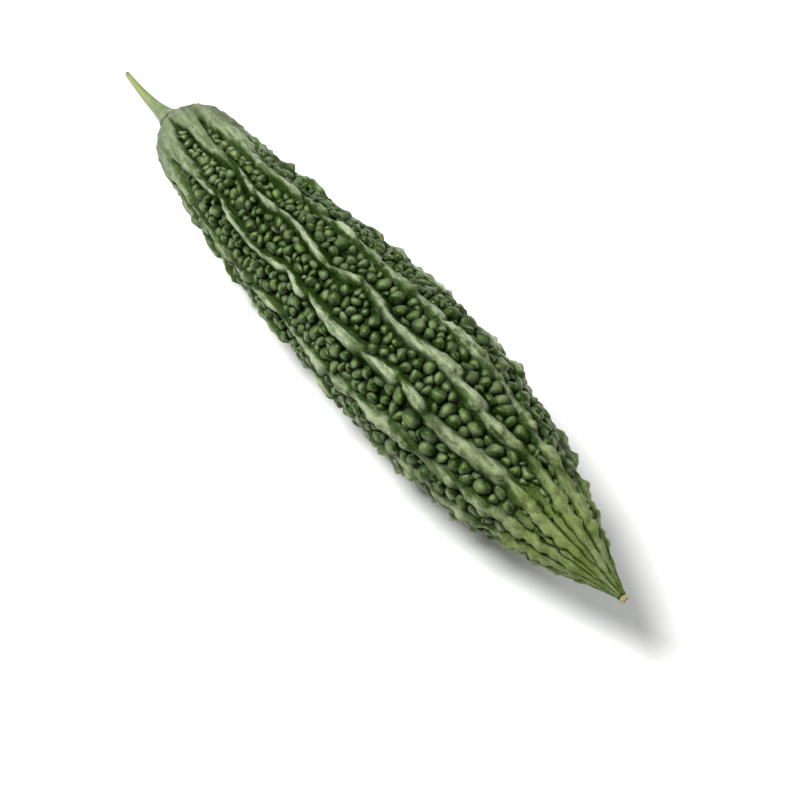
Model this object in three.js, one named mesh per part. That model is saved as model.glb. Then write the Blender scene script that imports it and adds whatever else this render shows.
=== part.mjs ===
// A bitter gourd lying on its side, as picked, with its stem and its dried blossom end.
// Millimetres, +Z up. The fruit's long axis runs along X, from the stem to the blossom end.

import * as THREE from 'three';
import { ConvexHull } from 'three/addons/math/ConvexHull.js';

// Driving dimensions of the fruit
const FRUIT_LENGTH = 250;
const WIDEST_RADIUS = 25.4;
const NECK_RADIUS = 4.5;
const TIP_RADIUS = 1.4;

// Its centre line: an arch, a lift of the blossom end, a slight sway to the side, and a
// shoulder that bulges a little to one side of the stem
const ARCH_HEIGHT = 3;
const TIP_LIFT = 8;
const SWAY = 1.2;
const SHOULDER_SHIFT = { by: 0.7, whole: 10, from: 20, to: 60 };

// How much of the lowest ribs and warts is pressed flat, and the stretch that may touch
const REST_CUT = 1.3;
const REST_ZONE = { from: 90, to: 176 };
const REST_HALF_WIDTH = 1.15;

// Ribs: their angles in degrees seen from the blossom end, their section and their drift
const RIB_ANGLES = [30, 74, 103, 138, 171, 198, 225, 253, 287, 321, 355];
const RIB_HEIGHT = 3.3;
const RIB_HALF_WIDTH = 3.2;
const RIB_FLANK = 0.62;
const RIB_STEP = 3.7;
const RIB_TWIST = { degrees: 13, from: 105, to: 240 };
const RIB_WANDER = { degrees: 2.4, wave: 8.5, spread: 2.3 };
const DOWNWARDS = 270;

// Lobes of the rib crests
const LOBE = { length: 12, drop: 0.38, peak: 0.78, shift: 0.37, jitter: 0.35, jitterWave: 17 };

// Smooth strips without warts at the shoulder and at the tip
const SHOULDER = { smooth: 4, warty: 20 };
const TIP_STRIPS = { warty: 208, smooth: 232 };

// Warts that fill the furrows between the ribs
const WART_RADIUS = 3.1;
const WART_HEIGHT = 2.2;
const WART_SIDES = 5;
const WART_RING = 0.62;
const WART_ZONE = { from: 10, to: 226 };
const WART_CROWDING = 0.91;
const TRIES = 30000;

// Least distances between the points of the skin
const RING_GAP = 0.8;
const FLOOR_GAP = 1.8;
const ROW_GAP = { least: 1.1, last: 0.6 };
const NARROW_SPACING = 4;

// Stem and dried blossom end, a hair clear of the fruit
const STEM_LENGTH = 31;
const STEM_RADIUS = 1.6;
const STEM_BEND = { down: 1.5, side: -0.05, lean: -0.7 };
const STEM_RIDGES = { count: 5, height: 0.09 };
const SCAR_RADIUS = 1.9;
const SCAR_HEIGHT = 1.5;
const SCAR_LUMPS = { count: 7, height: 0.14 };
const SCAR_RAGGED = { count: 3, height: 0.12 };
const GAP = 0.3;

const TURN = 2 * Math.PI;
const DEGREE = Math.PI / 180;
const { clamp, lerp, smoothstep, euclideanModulo } = THREE.MathUtils;

// Small seeded random source, so that every build grows the same fruit
function seededRandom(seed) {
  let state = seed;
  return () => {
    state = (state + 0x6d2b79f5) | 0;
    let mixed = Math.imul(state ^ (state >>> 15), 1 | state);
    mixed = (mixed + Math.imul(mixed ^ (mixed >>> 7), 61 | mixed)) ^ mixed;
    return ((mixed ^ (mixed >>> 14)) >>> 0) / 2 ** 32;
  };
}

// Half outline over the rib crests, as shares of the length and of the widest radius
const OUTLINE = [
  [0, NECK_RADIUS / WIDEST_RADIUS], [0.012, 0.207], [0.024, 0.313], [0.036, 0.432], [0.05, 0.52],
  [0.075, 0.597], [0.12, 0.645], [0.2, 0.745], [0.3, 0.847], [0.4, 0.92], [0.5, 0.977], [0.59, 1],
  [0.69, 0.96], [0.78, 0.84], [0.84, 0.7], [0.888, 0.52], [0.928, 0.36], [0.96, 0.21],
  [0.985, 0.105], [1, TIP_RADIUS / WIDEST_RADIUS],
];
const OUTLINE_SAMPLES = 1200;
const outlineCurve = new THREE.SplineCurve(
  OUTLINE.map(([along, across]) => new THREE.Vector2(along * FRUIT_LENGTH, across * WIDEST_RADIUS)),
);
outlineCurve.arcLengthDivisions = OUTLINE_SAMPLES;
const outline = outlineCurve.getSpacedPoints(OUTLINE_SAMPLES);
const outlineLength = outlineCurve.getLength();

// Sample before a distance run along the outline, and the share of the way to the next one
function outlineSample(run) {
  const place = clamp(run / outlineLength, 0, 1) * OUTLINE_SAMPLES;
  const index = Math.min(Math.floor(place), OUTLINE_SAMPLES - 1);
  return { index, share: place - index };
}

// Place, outward direction and radius of the outline at a distance run along it
function outlineAt(run) {
  const { index, share } = outlineSample(run);
  const from = outline[index];
  const to = outline[index + 1];
  const step = new THREE.Vector2().subVectors(to, from).normalize();
  return {
    x: lerp(from.x, to.x, share),
    radius: lerp(from.y, to.y, share),
    normalX: -step.y,
    normalR: step.x,
  };
}

// Conformal height of each outline sample: equal angles on the fruit stay equal on a sphere
const conformal = [0];
for (let i = 1; i <= OUTLINE_SAMPLES; i += 1) {
  const meanRadius = (outline[i].y + outline[i - 1].y) / 2;
  conformal.push(conformal[i - 1] + outline[i].distanceTo(outline[i - 1]) / meanRadius);
}
const conformalMiddle = conformal[OUTLINE_SAMPLES] / 2;

function spherePoint({ run, angle }) {
  const { index, share } = outlineSample(run);
  const latitude = lerp(conformal[index], conformal[index + 1], share) - conformalMiddle;
  const ring = 1 / Math.cosh(latitude);
  return new THREE.Vector3(Math.tanh(latitude), ring * Math.cos(angle), ring * Math.sin(angle));
}

// The fruit's centre line arches up in its thicker half and sways a little sideways
function centreLine(x) {
  const share = clamp(x / FRUIT_LENGTH, 0, 1);
  const arch = ARCH_HEIGHT * Math.sin(Math.PI * share ** 1.2) ** 2;
  const sway = -SWAY * Math.sin(TURN * share) * (1 - share);
  const { by, whole, from, to } = SHOULDER_SHIFT;
  const bulge = by * smoothstep(x, 0, whole) * (1 - smoothstep(x, from, to));
  return { y: sway + bulge, z: arch + TIP_LIFT * (share - 0.5) };
}

// Angle of a rib, in radians, where the outline has run to x
function ribAngle(rib, x) {
  const twist = RIB_TWIST.degrees * smoothstep(x, RIB_TWIST.from, RIB_TWIST.to);
  const wave = RIB_WANDER.wave + RIB_WANDER.spread * Math.sin(rib * 2.1);
  const ends = smoothstep(x, 5, 40) * (1 - smoothstep(x, 215, 240));
  const wander = RIB_WANDER.degrees * Math.sin(x / wave + rib * 1.7) * ends;
  return (RIB_ANGLES[rib] - twist + wander) * DEGREE;
}

// Rib crests rise lobe by lobe towards the blossom end and drop at each lobe's end
function crestShare(rib, x) {
  const jitter = LOBE.jitter * Math.sin(x / LOBE.jitterWave + rib * 2.3);
  const lobe = euclideanModulo(x / LOBE.length + rib * LOBE.shift + jitter, 1);
  const rising = smoothstep(lobe, 0, LOBE.peak);
  const height = lobe < LOBE.peak ? rising : 1 - smoothstep(lobe, LOBE.peak, 1);
  const strength = smoothstep(x, 12, 60) * (1 - smoothstep(x, 222, 238));
  return 1 - LOBE.drop * strength * (1 - height);
}

// Height of the relief: low at the shoulder and the tip, nothing at the two end faces
function reliefHeight(x) {
  const nearStem = lerp(0.25, 1, smoothstep(x, 2, 32));
  const nearTip = lerp(1, 0.3, smoothstep(x, 205, 242));
  const ends = smoothstep(x, 0, 2) * (1 - smoothstep(x, FRUIT_LENGTH - 2.5, FRUIT_LENGTH));
  return RIB_HEIGHT * nearStem * nearTip * ends;
}

// How far the ribs have widened into smooth strips: 0 among the warts, 1 at both ends
function stripShare(x) {
  const shoulder = 1 - smoothstep(x, SHOULDER.smooth, SHOULDER.warty);
  return Math.max(shoulder, smoothstep(x, TIP_STRIPS.warty, TIP_STRIPS.smooth));
}

function nearestTurn(angle) {
  return angle - TURN * Math.round(angle / TURN);
}

// Nearest rib to a point and the distance to it, across the surface
function nearestRib({ x, radius, angle }) {
  const offsets = RIB_ANGLES.map((_, rib) => Math.abs(nearestTurn(angle - ribAngle(rib, x))) * radius);
  const offset = Math.min(...offsets);
  return { rib: offsets.indexOf(offset), offset };
}

function ribSpacing(radius) {
  return (TURN * radius) / RIB_ANGLES.length;
}

// Relief over the furrow floor at a point of the surface, warts left out
function ribRelief(point) {
  const { rib, offset } = nearestRib(point);
  const narrow = Math.max(0, 1 - (offset / RIB_HALF_WIDTH) ** 2) ** 1.5;
  const toFurrow = offset / (0.5 * ribSpacing(point.radius));
  const wide = 1 - smoothstep(toFurrow, 0.55, 1.02);
  const section = lerp(narrow * crestShare(rib, point.x), wide, stripShare(point.x));
  return reliefHeight(point.x) * section;
}

// Dome of a wart over the furrow floor, at a share of the wart's radius
function wartRelief(x, share) {
  const height = WART_HEIGHT * (reliefHeight(x) / RIB_HEIGHT) * lerp(1, 0.4, stripShare(x));
  return height * Math.sqrt(1 - share ** 2);
}

// Surface distance between two points given by outline run and angle
function surfaceDistance(a, b) {
  const across = nearestTurn(a.angle - b.angle) * (a.radius + b.radius) * 0.5;
  return Math.hypot(a.run - b.run, across);
}

// Rows of points along the outline keep the search for near neighbours short
function makeRows(width) {
  const rows = new Map();
  const rowOf = (run) => Math.floor(run / width);
  return {
    add(point) {
      const row = rowOf(point.run);
      if (!rows.has(row)) rows.set(row, []);
      rows.get(row).push(point);
    },
    someNear(run, test) {
      const row = rowOf(run);
      return [row - 1, row, row + 1].some((each) => (rows.get(each) ?? []).some(test));
    },
  };
}

function surfacePoint(run, angle) {
  const { x, radius } = outlineAt(run);
  return { run, angle, x, radius };
}

function inWartZone({ x }) {
  return x > WART_ZONE.from && x < WART_ZONE.to;
}

// Warts are thrown at random into the furrows and kept where they fit: larger mid fruit,
// and smaller as the furrows fill up
function scatterWarts(random) {
  const warts = [];
  const rows = makeRows(4 * WART_RADIUS);
  for (let i = 0; i < TRIES; i += 1) {
    const wart = surfacePoint(random() * outlineLength, random() * TURN);
    const grown = 0.74 + 0.36 * smoothstep(wart.x, 15, 150) - 0.34 * smoothstep(wart.x, 196, 226);
    const filled = i / TRIES;
    wart.size = WART_RADIUS * grown * (1.12 - 0.36 * filled + 0.1 * random());
    if (!inWartZone(wart) || random() > wart.radius / WIDEST_RADIUS) continue;
    if (nearestRib(wart).offset < RIB_HALF_WIDTH * RIB_FLANK + wart.size * 0.7) continue;
    const reach = (other) => WART_CROWDING * (wart.size + other.size);
    if (rows.someNear(wart.run, (other) => surfaceDistance(wart, other) < reach(other))) continue;
    rows.add(wart);
    warts.push(wart);
  }
  return { warts, rows };
}

// Points along every rib: its crest, its two flanks and, where the ribs are wide strips,
// the groove beside it. The ribs that the fruit rests on get a broad crest.
function addRibPoints(keep, run) {
  const { x, radius } = outlineAt(run);
  const spacing = ribSpacing(radius);
  const strips = stripShare(x);
  const flank = lerp(RIB_HALF_WIDTH * RIB_FLANK, 0.3 * spacing, strips) / radius;
  const crest = REST_HALF_WIDTH / radius;
  const resting = x > REST_ZONE.from && x < REST_ZONE.to;
  RIB_ANGLES.forEach((degrees, rib) => {
    const angle = ribAngle(rib, x);
    const next = ribAngle((rib + 1) % RIB_ANGLES.length, x);
    const turns = [0];
    if (resting && Math.abs(degrees - DOWNWARDS) < 30) turns.push(-crest, crest);
    if (spacing > NARROW_SPACING) turns.push(-flank, flank);
    if (strips > 0.5 || run === 0) turns.push(0.5 * euclideanModulo(next - angle, TURN));
    turns.forEach((turn) => {
      const point = surfacePoint(run, angle + turn);
      keep(point, ribRelief(point));
    });
  });
}

// Top of a wart and a ring of points round it, left out where it would crowd a rib
function addWartPoints(keep, taken, wart, start) {
  keep(wart, wartRelief(wart.x, 0));
  const reach = wart.size * WART_RING;
  for (let side = 0; side < WART_SIDES; side += 1) {
    const turn = start + (side / WART_SIDES) * TURN;
    const angle = wart.angle + (reach * Math.sin(turn)) / wart.radius;
    const ring = surfacePoint(wart.run + reach * Math.cos(turn), angle);
    if (taken.someNear(ring.run, (other) => surfaceDistance(ring, other) < RING_GAP)) continue;
    keep(ring, wartRelief(ring.x, WART_RING));
  }
}

// Points on the furrow floor, between the warts
function addFloorPoints(keep, taken, wartRows, random) {
  for (let i = 0; i < TRIES; i += 1) {
    const point = surfacePoint(random() * outlineLength, random() * TURN);
    if (!inWartZone(point) || nearestRib(point).offset < RIB_HALF_WIDTH * 0.9) continue;
    const onWart = (wart) => surfaceDistance(point, wart) < 0.9 * wart.size;
    const tooClose = (other) => surfaceDistance(point, other) < FLOOR_GAP;
    if (wartRows.someNear(point.run, onWart) || taken.someNear(point.run, tooClose)) continue;
    keep(point, ribRelief(point));
  }
}

// All points of the fruit's skin, each with its relief over the furrow floor
function growSkinPoints() {
  const random = seededRandom(41);
  const points = [];
  const taken = makeRows(6);
  const keep = (point, height) => {
    points.push({ ...point, height });
    taken.add(point);
  };
  const { warts, rows } = scatterWarts(random);
  let run = 0;
  while (run < outlineLength - ROW_GAP.last) {
    addRibPoints(keep, run);
    run += clamp(0.5 * ribSpacing(outlineAt(run).radius), ROW_GAP.least, RIB_STEP);
  }
  const endSides = 2 * RIB_ANGLES.length;
  for (let side = 0; side < endSides; side += 1) {
    keep(surfacePoint(outlineLength, (side / endSides) * TURN), 0);
  }
  warts.forEach((wart) => addWartPoints(keep, taken, wart, random() * TURN));
  addFloorPoints(keep, taken, rows, random);
  return points;
}

// Raises a skin point by its relief and sets it round the centre line, over the floor
function placeSkinPoint({ run, angle, height }, floor) {
  const { x, radius, normalX, normalR } = outlineAt(run);
  const depth = reliefHeight(x) - height;
  const around = radius - normalR * depth;
  const centre = centreLine(x);
  const z = Math.max(centre.z + around * Math.sin(angle), floor);
  return new THREE.Vector3(x - normalX * depth, centre.y + around * Math.cos(angle), z);
}

function closedGeometry(vertices, triangles) {
  const geometry = new THREE.BufferGeometry();
  const positions = vertices.flatMap((vertex) => vertex.toArray());
  geometry.setAttribute('position', new THREE.Float32BufferAttribute(positions, 3));
  geometry.setIndex(triangles.flat());
  geometry.computeVertexNormals();
  return geometry;
}

// The hull of the points on their sphere gives the best triangles between them
function makeFruit() {
  const points = growSkinPoints();
  const onSphere = points.map(spherePoint);
  onSphere.push(new THREE.Vector3(-1, 0, 0), new THREE.Vector3(1, 0, 0));
  onSphere.forEach((point, index) => { point.index = index; });
  const lowest = Math.min(...points.map((point) => placeSkinPoint(point, -Infinity).z));
  const vertices = points.map((point) => placeSkinPoint(point, lowest + REST_CUT));
  vertices.push(
    new THREE.Vector3(0, 0, centreLine(0).z),
    new THREE.Vector3(FRUIT_LENGTH, 0, centreLine(FRUIT_LENGTH).z),
  );
  const triangles = new ConvexHull().setFromPoints(onSphere).faces.map(({ edge }) => [
    edge.tail().point.index,
    edge.head().point.index,
    edge.next.head().point.index,
  ]);
  return closedGeometry(vertices, triangles);
}

// Closed skin of rings, set along X one after another, with a point at each end
function ringSolid(rings, sides, place) {
  const turns = Array.from({ length: sides }, (_, side) => (side / sides) * TURN);
  const loops = rings.map((ring) => turns.map((turn) => place(ring, turn)));
  const triangles = [];
  const last = (rings.length - 1) * sides;
  const firstEnd = rings.length * sides;
  for (let side = 0; side < sides; side += 1) {
    const next = (side + 1) % sides;
    for (let row = 0; row < last; row += sides) {
      const [a, b] = [row + side, row + next];
      triangles.push([a, b, a + sides], [b, b + sides, a + sides]);
    }
    triangles.push([firstEnd, next, side], [firstEnd + 1, last + side, last + next]);
  }
  const middleOf = (loop) => loop
    .reduce((sum, vertex) => sum.add(vertex), new THREE.Vector3())
    .divideScalar(sides);
  return closedGeometry([...loops.flat(), middleOf(loops[0]), middleOf(loops.at(-1))], triangles);
}

// Stem: low ridges, a foot that spreads onto the shoulder, a rounded free end.
// Each ring is a share of the length from the foot and a share of the radius.
function makeStem() {
  const sides = 4 * STEM_RIDGES.count;
  const rings = [
    [1, 0.3], [0.985, 0.52], [0.95, 0.63], [0.87, 0.7], [0.75, 0.82], [0.62, 0.96], [0.5, 1.12],
    [0.38, 1.28], [0.27, 1.47], [0.18, 1.7], [0.11, 1.97], [0.06, 2.24], [0.025, 2.5], [0, 2.72],
  ];
  return ringSolid(rings, sides, ([share, width], angle) => {
    const ridge = STEM_RIDGES.height * Math.cos(STEM_RIDGES.count * angle);
    const radius = STEM_RADIUS * width * (1 + ridge * smoothstep(1 - share, 0, 0.2));
    const bend = Math.sin(Math.PI * share);
    return new THREE.Vector3(
      -GAP - share * STEM_LENGTH,
      STEM_BEND.side * bend + STEM_BEND.lean * share + radius * Math.cos(angle),
      centreLine(0).z - STEM_BEND.down * bend + radius * Math.sin(angle),
    );
  });
}

// Dried blossom end: a ragged ring of lumps round a small pit.
// Each ring is a share of the height and a share of the radius.
function makeBlossomScar() {
  const sides = 3 * SCAR_LUMPS.count;
  const rings = [
    [0, 0.66], [0.2, 0.92], [0.5, 1], [0.8, 0.86], [1, 0.58], [0.86, 0.34], [0.62, 0.18],
  ];
  return ringSolid(rings, sides, ([share, width], angle) => {
    const outside = width > 0.5 ? smoothstep(share, 0, 0.4) : 0;
    const lump = 1 + SCAR_LUMPS.height * Math.sin(SCAR_LUMPS.count * angle) * outside;
    const ragged = 1 + SCAR_RAGGED.height * Math.sin(SCAR_RAGGED.count * angle + 1) * share;
    const radius = SCAR_RADIUS * width * lump;
    return new THREE.Vector3(
      FRUIT_LENGTH + GAP + SCAR_HEIGHT * share * ragged,
      radius * Math.cos(angle),
      centreLine(FRUIT_LENGTH).z + radius * Math.sin(angle),
    );
  });
}

const FRUIT_SKIN = new THREE.MeshStandardMaterial({ color: 0x6f9450, roughness: 0.5, metalness: 0 });
const STEM_SKIN = new THREE.MeshStandardMaterial({ color: 0xa6b56c, roughness: 0.65, metalness: 0 });
const DRIED_BLOSSOM = new THREE.MeshStandardMaterial({ color: 0xb99d68, roughness: 0.9, metalness: 0 });

function namedMesh(name, geometry, material) {
  const mesh = new THREE.Mesh(geometry, material);
  mesh.name = name;
  return mesh;
}

const group = new THREE.Group();
group.add(
  namedMesh('fruit', makeFruit(), FRUIT_SKIN),
  namedMesh('stem', makeStem(), STEM_SKIN),
  namedMesh('blossom_scar', makeBlossomScar(), DRIED_BLOSSOM),
);

// The origin is under the middle of the whole, on the surface that it rests on
const bounds = new THREE.Box3().setFromObject(group);
const middle = bounds.getCenter(new THREE.Vector3());
group.children.forEach((mesh) => {
  mesh.geometry.translate(-middle.x, -middle.y, -bounds.min.z);
});

export default group;
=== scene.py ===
import math

import bpy
import numpy as np
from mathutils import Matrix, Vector


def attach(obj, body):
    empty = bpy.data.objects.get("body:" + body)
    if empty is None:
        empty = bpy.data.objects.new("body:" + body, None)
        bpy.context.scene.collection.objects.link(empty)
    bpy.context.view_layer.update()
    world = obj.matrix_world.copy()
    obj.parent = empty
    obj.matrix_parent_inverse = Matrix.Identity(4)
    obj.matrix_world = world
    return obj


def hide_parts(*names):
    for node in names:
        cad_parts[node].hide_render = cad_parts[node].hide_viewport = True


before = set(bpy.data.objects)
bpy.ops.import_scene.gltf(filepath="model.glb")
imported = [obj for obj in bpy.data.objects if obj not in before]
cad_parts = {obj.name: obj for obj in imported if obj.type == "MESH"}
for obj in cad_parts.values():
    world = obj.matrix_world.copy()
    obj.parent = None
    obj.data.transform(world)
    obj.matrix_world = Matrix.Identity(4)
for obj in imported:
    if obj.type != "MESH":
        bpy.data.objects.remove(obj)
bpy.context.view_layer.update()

scene = bpy.context.scene
MM = 0.001

# Camera
# It looks down on the resting fruit from beside its blossom end, so that the stem points away
# to the upper left of the picture and the blossom end comes forward to the lower right.
SIGHT_AZIMUTH = math.radians(55.71)
SIGHT_ELEVATION = math.radians(50)
SIGHT_DISTANCE = 540 * MM
SIGHT_TARGET = Vector((45.19, -9.46, 22)) * MM
SIGHT_LENS = 80.91

towards_eye = Vector((
    math.sin(SIGHT_AZIMUTH) * math.cos(SIGHT_ELEVATION),
    -math.cos(SIGHT_AZIMUTH) * math.cos(SIGHT_ELEVATION),
    math.sin(SIGHT_ELEVATION),
))
camera = bpy.data.objects.new("camera", bpy.data.cameras.new("camera"))
camera.data.lens = SIGHT_LENS
camera.data.clip_start = 10 * MM
camera.location = SIGHT_TARGET + towards_eye * SIGHT_DISTANCE
camera.rotation_euler = towards_eye.to_track_quat("Z", "Y").to_euler()
scene.collection.objects.link(camera)
scene.camera = camera

# Fruit skin
# The waxy green skin of one fruit: a spindle with eleven soft ribs, whose pale crests rise in
# overlapping lobes towards the blossom end. At both ends the ribs widen into smooth strips with
# dark grooves between them. All sizes of the fruit are in millimetres, along x from the neck. A
# value that changes on the way is given as where it starts, with its amount there, and likewise
# where it ends.
LENGTH = 250
WIDEST = 25.4
NECK_RADIUS = 4.5
TIP_RADIUS = 1.4
# The half outline over the rib crests, as shares of LENGTH and of WIDEST
OUTLINE = [
    (0, NECK_RADIUS / WIDEST), (0.008, 0.195), (0.019, 0.31), (0.031, 0.44), (0.045, 0.535),
    (0.072, 0.603), (0.12, 0.647), (0.2, 0.745), (0.3, 0.847), (0.4, 0.92), (0.5, 0.977), (0.59, 1),
    (0.69, 0.96), (0.78, 0.83), (0.84, 0.69), (0.888, 0.51), (0.928, 0.36), (0.96, 0.21),
    (0.985, 0.105), (1, TIP_RADIUS / WIDEST),
]
OUTLINE_STEPS = 40
ARCH = {"height": 3, "lean": 1.2}
TIP_LIFT = 8
TIP_RISE = ((180, 0), (245, 1.8))
SWAY = 1.2
SHOULDER_SHIFT = ((0, 0), (10, 1.2))
SHOULDER_RETURN = ((20, 1), (60, 0))
RIB_ANGLES = np.array([33, 74, 103, 138, 171, 198, 225, 253, 287, 321, 355])
RIBS = len(RIB_ANGLES)
RIB_HEIGHT = 3.9
RIB_RISE = ((2, 0.25), (32, 1))
RIB_FALL = ((205, 1), (242, 0.3))
RIBLESS = {"neck": 2, "tip": 2.5}
RIB_TWIST = ((105, 0), (240, 13))
RIB_WANDER = {"degrees": 2.4, "wave": 8.5, "spread": 2.3, "spread_step": 2.1, "step": 1.7}
WANDER_ONSET = (5, 40)
WANDER_END = (215, 240)
LOBE = {"length": 20.5, "shift": 0.37, "jitter": 0.3, "jitter_wave": 9.0, "jitter_step": 2.3}
SHOULDER_STRIPS = (12, 42)
GROOVES = (9.5, 13.5)
FURROW_OPENING = (13, 26)
FURROW_LATENESS = np.array([27, 9, 0, 15, 16, 18, 13, 15, 14, 18, 16])
TIP_STRIPS = (206, 227)
MIDDLE_STRIPS = np.array([1, 0, 1, 1, 0, 1, 0, 1, 1, 0, 1])
MIDDLE_ONSET = (204, 213)
SKIN_ROWS = 345
COLUMNS_PER_RIB = 24
CREST_DENSITY = 0.55


def smoothstep(value, low, high):
    share = np.clip((value - low) / (high - low), 0, 1)
    return share * share * (3 - 2 * share)


def mixed(low, high, share):
    return low + (high - low) * share


def changing(value, start, end):
    return mixed(start[1], end[1], smoothstep(value, start[0], end[0]))


def outline_points():
    """The half outline over the rib crests, as a fine line of (x, radius)."""
    marks = np.array(OUTLINE) * (LENGTH, WIDEST)
    marks = np.vstack([marks[:1], marks, marks[-1:]])
    share = np.linspace(0, 1, OUTLINE_STEPS, endpoint=False)[:, None]
    pieces = []
    for before, start, end, after in zip(marks, marks[1:], marks[2:], marks[3:]):
        pull, push = (end - before) / 2, (after - start) / 2
        cubic = 2 * start - 2 * end + pull + push
        square = -3 * start + 3 * end - 2 * pull - push
        pieces.append(((cubic * share + square) * share + pull) * share + start)
    return np.vstack([*pieces, marks[-1:]])


outline = outline_points()
outline_steps = np.diff(outline, axis=0)
outline_runs = np.concatenate([[0], np.cumsum(np.hypot(*outline_steps.T))])
outline_normals = np.gradient(outline, outline_runs, axis=0)[:, ::-1] * (-1, 1)


def outline_at(run):
    """x, radius and outward direction where the outline has run so far."""
    x, radius = (np.interp(run, outline_runs, outline[:, k]) for k in (0, 1))
    out_x, out_radius = (np.interp(run, outline_runs, outline_normals[:, k]) for k in (0, 1))
    return x, radius, out_x, out_radius


def centre_line(x):
    """The fruit arches up in its thicker half, sways a little sideways, and its shoulder
    bulges to one side of the stem."""
    share = np.clip(x / LENGTH, 0, 1)
    arch = ARCH["height"] * np.sin(np.pi * share ** ARCH["lean"]) ** 2
    arch = arch + changing(x, *TIP_RISE)
    sway = -SWAY * np.sin(2 * np.pi * share) * (1 - share)
    bulge = changing(x, *SHOULDER_SHIFT) * changing(x, *SHOULDER_RETURN)
    return sway + bulge, arch + TIP_LIFT * (share - 0.5)


def rib_angle(rib, x):
    """Where a rib runs round the fruit at x: it twists a little and wanders from side to side."""
    wave = RIB_WANDER["wave"] + RIB_WANDER["spread"] * np.sin(rib * RIB_WANDER["spread_step"])
    ends = smoothstep(x, *WANDER_ONSET) * (1 - smoothstep(x, *WANDER_END))
    wander = RIB_WANDER["degrees"] * np.sin(x / wave + rib * RIB_WANDER["step"]) * ends
    return np.radians(RIB_ANGLES[rib] - changing(x, *RIB_TWIST) + wander)


def relief_height(x):
    ends = smoothstep(x, 0, RIBLESS["neck"]) * (1 - smoothstep(x, LENGTH - RIBLESS["tip"], LENGTH))
    return RIB_HEIGHT * changing(x, *RIB_RISE) * changing(x, *RIB_FALL) * ends


def strip_share(x, late):
    """How far the ribs have widened into smooth strips: wholly at both ends of the fruit."""
    shoulder = 1 - smoothstep(x - late, *SHOULDER_STRIPS)
    return np.maximum(shoulder, smoothstep(x, *TIP_STRIPS))


# The neck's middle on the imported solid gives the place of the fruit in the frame
fruit_corners = np.array([tuple(v.co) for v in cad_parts["fruit"].data.vertices])
neck_x = fruit_corners[:, 0].min()
neck = fruit_corners[fruit_corners[:, 0] < neck_x + 0.01 * MM].mean(axis=0)
_, neck_lift = centre_line(0)
fruit_origin = neck - np.array([0, 0, neck_lift * MM])


def place(x, y, z):
    """Points in the frame, in metres, from the fruit's own millimetres."""
    return np.stack(np.broadcast_arrays(x, y, z), axis=-1) * MM + fruit_origin


def floor_point(run, angle):
    """A point on the furrow floor, which lies below the outline by the height of the ribs."""
    x, radius, out_x, out_radius = outline_at(run)
    depth = relief_height(x)
    side, lift = centre_line(x)
    ring = radius - out_radius * depth
    return place(x - out_x * depth, side + ring * np.cos(angle), lift + ring * np.sin(angle))


def tube_mesh(name, rings, poles, marks):
    """A closed skin over rings of points, from low x to high x, with a pole at each end. Its
    UV map runs round and along, and marks become point attributes: one array and two pole
    values for each name."""
    rows, columns = rings.shape[:2]
    points = np.vstack([rings.reshape(-1, 3), poles])
    row, column = np.meshgrid(np.arange(rows - 1), np.arange(columns), indexing="ij")
    row, column = row.ravel(), column.ravel()
    beside = (column + 1) % columns
    quads = np.stack([
        row * columns + column, row * columns + beside,
        (row + 1) * columns + beside, (row + 1) * columns + column,
    ], axis=1)
    ring = np.arange(columns)
    first, last = rows * columns, rows * columns + 1
    top = (rows - 1) * columns
    start_fan = np.stack([np.full(columns, first), (ring + 1) % columns, ring], axis=1)
    end_fan = np.stack([np.full(columns, last), top + ring, top + (ring + 1) % columns], axis=1)
    mesh = bpy.data.meshes.new(name)
    mesh.from_pydata(points.tolist(), [], [*quads.tolist(), *start_fan.tolist(), *end_fan.tolist()])

    u, v = column / columns, (row + 1) / (rows + 1)
    u_next, v_next = (column + 1) / columns, (row + 2) / (rows + 1)
    quad_uv = np.stack([u, v, u_next, v, u_next, v_next, u, v_next], axis=1).reshape(-1, 2)
    fan_u, fan_next = ring / columns, (ring + 1) / columns
    middle, low, high = (fan_u + fan_next) / 2, np.zeros(columns), np.ones(columns)
    rim_low, rim_high = low + 1 / (rows + 1), low + rows / (rows + 1)
    start_uv = np.stack([middle, low, fan_next, rim_low, fan_u, rim_low], axis=1).reshape(-1, 2)
    end_uv = np.stack([middle, high, fan_u, rim_high, fan_next, rim_high], axis=1).reshape(-1, 2)
    uv_map = mesh.uv_layers.new(name="OFBake")
    uv_map.data.foreach_set("uv", np.vstack([quad_uv, start_uv, end_uv]).ravel())
    for label, (values, *pole_values) in marks.items():
        layer = mesh.attributes.new(label, "FLOAT", "POINT")
        spread = np.broadcast_to(values, (rows, columns)).ravel()
        layer.data.foreach_set("value", np.concatenate([spread, pole_values]).astype(np.float32))
    return mesh


def rib_columns(x, radius):
    """Angle of every column of the skin, and its distance from the nearest rib, in mm: the
    columns follow the ribs and stand closer at the crests."""
    step = np.arange(COLUMNS_PER_RIB) / COLUMNS_PER_RIB
    share = step - CREST_DENSITY * np.sin(2 * np.pi * step) / (2 * np.pi)
    angles, asides, half_gaps, numbers = [], [], [], []
    for rib in range(RIBS):
        here = rib_angle(rib, x)[:, None]
        gap = np.mod(rib_angle((rib + 1) % RIBS, x)[:, None] - here, 2 * np.pi)
        angles.append(here + gap * share)
        across = gap * radius[:, None]
        asides.append(np.where(share < 0.5, across * share, across * (share - 1)))
        half_gaps.append(np.broadcast_to(across / 2, asides[-1].shape))
        numbers.append(np.where(share < 0.5, rib, (rib + 1) % RIBS) + 0 * across)
    return (np.hstack(each) for each in (angles, asides, half_gaps, numbers))


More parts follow.
